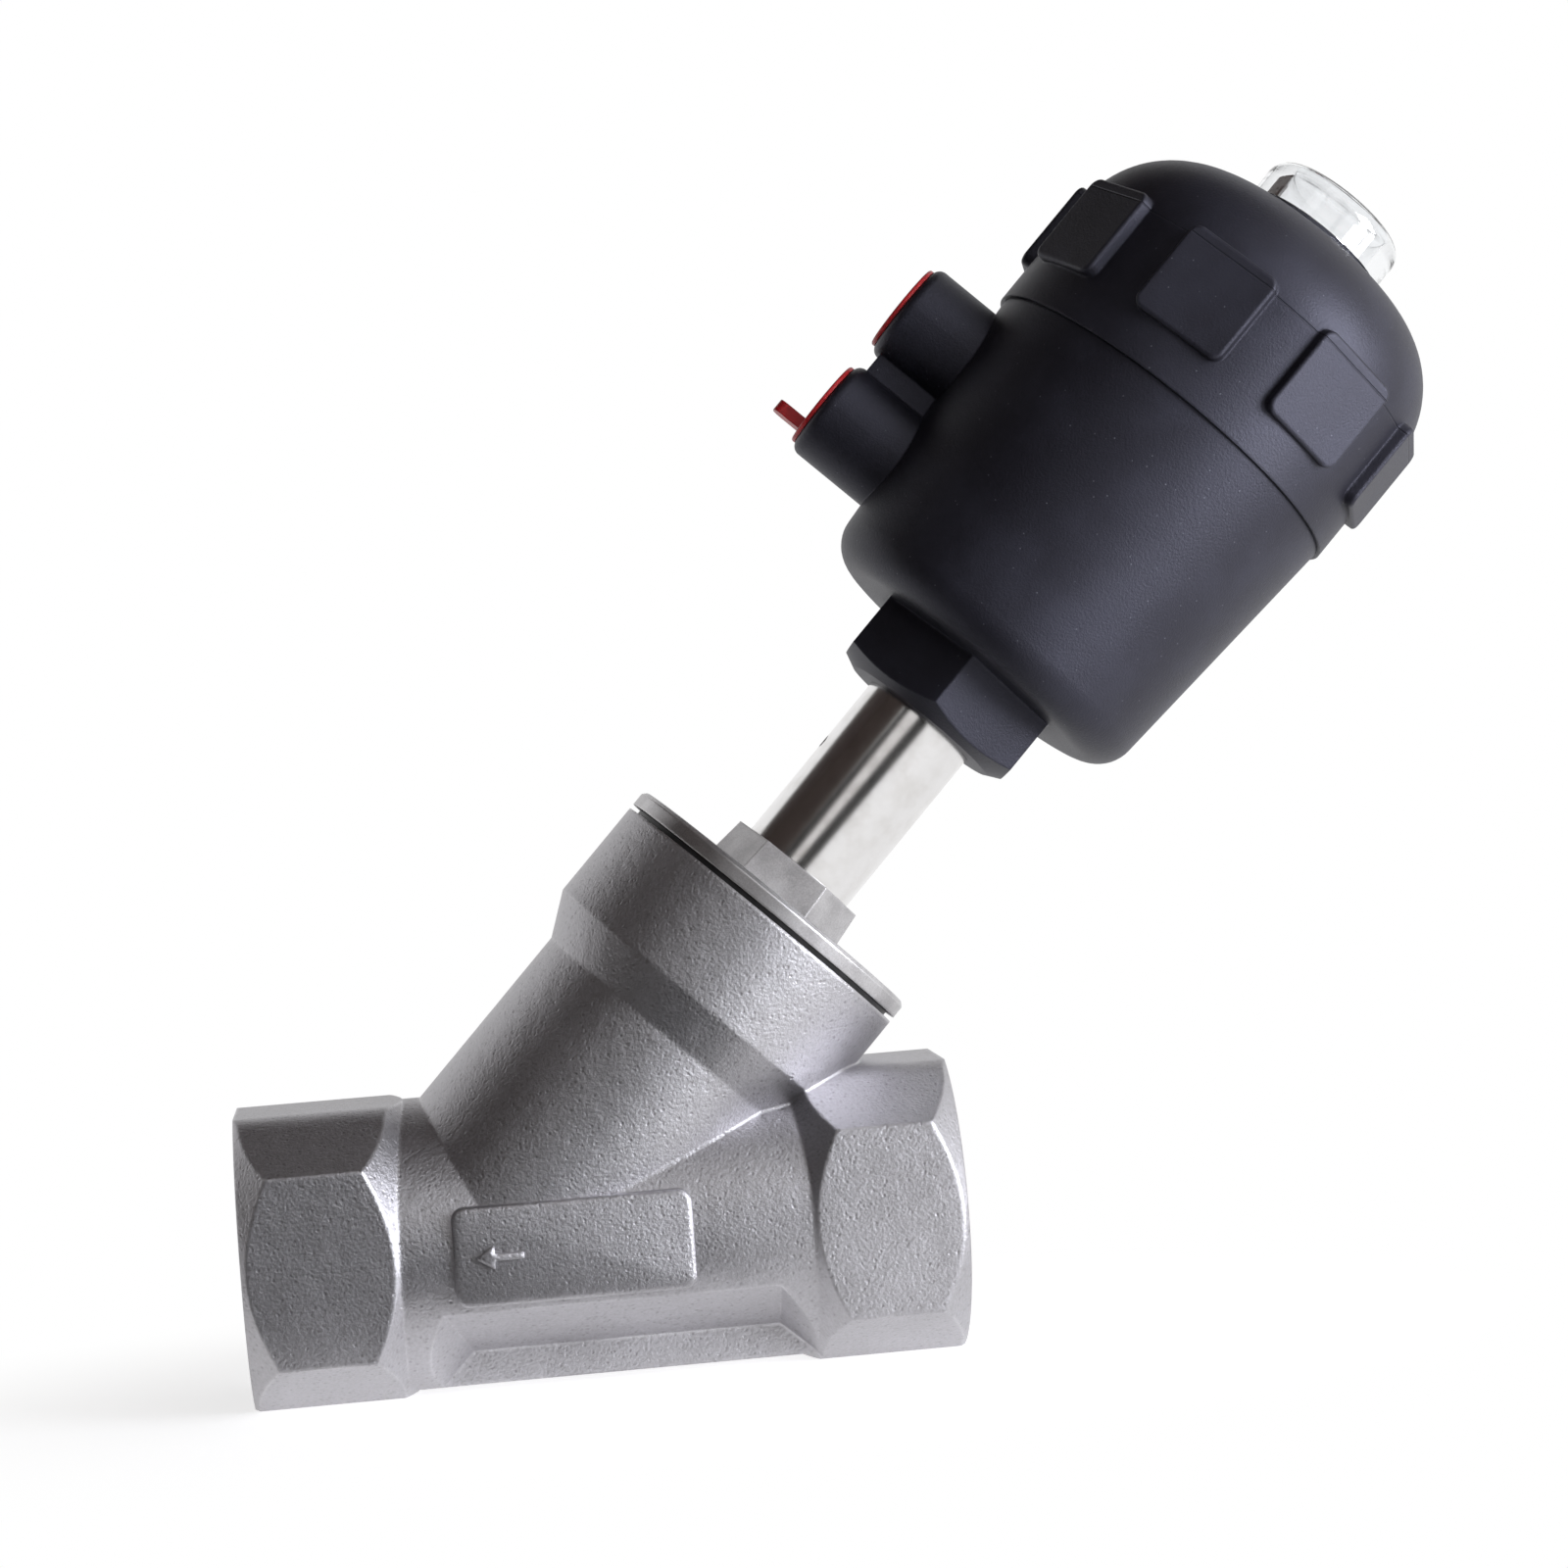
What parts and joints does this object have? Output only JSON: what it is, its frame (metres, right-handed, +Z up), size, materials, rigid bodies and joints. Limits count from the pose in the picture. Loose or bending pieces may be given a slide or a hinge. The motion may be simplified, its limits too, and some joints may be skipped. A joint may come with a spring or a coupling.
{
  "type": "pneumatic angle seat valve",
  "caption": "Pneumatic angle seat valve: threaded Y-pattern steel body, slanted bonnet tube, swivelling black piston actuator with clear indicator cap.",
  "frame": {"origin": "centre of the inlet mouth, on the pipe axis, at the body's end face (the thread's full wall starts 1 mm inside it)", "axes": "+X along the pipe, out of the inlet; +Z up, with the actuator leaning over the inlet at 46 degrees; +Y across the pipe, away from the label plate"},
  "size_m": [0.1594, 0.0556, 0.1491],
  "materials": {
    "cast_steel": "bead-blasted cast stainless steel",
    "turned_steel": "machined stainless steel",
    "polished_steel": "polished stainless steel tube",
    "spring_steel": "drawn spring wire",
    "black_plastic": "glass-filled nylon, satin black",
    "clear_plastic": "clear polycarbonate",
    "red_plastic": "soft red polyethylene",
    "soft_seal": "filled PTFE",
    "rubber": "nitrile rubber",
    "graphite": "pressed graphite sheet",
    "indicator_red": "moulded indicator",
    "brass": "free-cutting brass",
    "aluminium": "turned aluminium"
  },
  "bodies": {
    "valve": {"valve_body": "cast_steel", "bonnet_gasket": "graphite", "bonnet": "turned_steel", "bonnet_tube": "polished_steel", "lower_guide": "turned_steel", "packing_spring": "spring_steel", "packing_washer": "turned_steel", "v_rings": "soft_seal", "packing_gland": "turned_steel", "upper_guide": "brass", "rod_seal": "rubber", "rod_seal_washer": "turned_steel", "rod_seal_circlip": "spring_steel", "thrust_washer": "soft_seal", "housing_circlip": "spring_steel"},
    "actuator": {"actuator_housing": "black_plastic", "swivel_o_ring": "rubber", "cover_o_ring": "rubber", "indicator_o_ring": "rubber", "cover": "black_plastic", "return_spring": "spring_steel"},
    "stem_train": {"stem": "turned_steel", "disc": "turned_steel", "disc_seal": "soft_seal", "seal_clamp": "turned_steel", "disc_nut": "turned_steel", "piston": "aluminium", "piston_seal": "rubber", "piston_guide_ring": "soft_seal", "piston_nut": "turned_steel", "position_indicator": "indicator_red"},
    "lower_plug": {"lower_port_plug": "red_plastic"},
    "upper_plug": {"upper_port_plug": "red_plastic"},
    "sight_cap": {"clear_cap": "clear_plastic"}
  },
  "joints": [
    {"name": "actuator_swivel", "type": "hinge", "parent": "valve", "child": "actuator", "pos_m": [0.00764, 0, 0.06798], "axis": [0.6947, 0, 0.7193], "continuous": true},
    {"name": "stem_lift", "type": "slide", "parent": "actuator", "child": "stem_train", "axis": [0.6947, 0, 0.7193], "range_m": [0, 0.008], "stiffness_N_per_m": 3800, "springref_m": -0.025, "deforming": ["return_spring"]},
    {"name": "lower_plug_pull", "type": "slide", "parent": "actuator", "child": "lower_plug", "axis": [-0.7154, 0.1045, 0.6909], "range_m": [0, 0.04]},
    {"name": "upper_plug_pull", "type": "slide", "parent": "actuator", "child": "upper_plug", "axis": [-0.7154, 0.1045, 0.6909], "range_m": [0, 0.04]},
    {"name": "sight_cap_lift", "type": "slide", "parent": "actuator", "child": "sight_cap", "axis": [0.6947, 0, 0.7193], "range_m": [0, 0.02]}
  ]
}
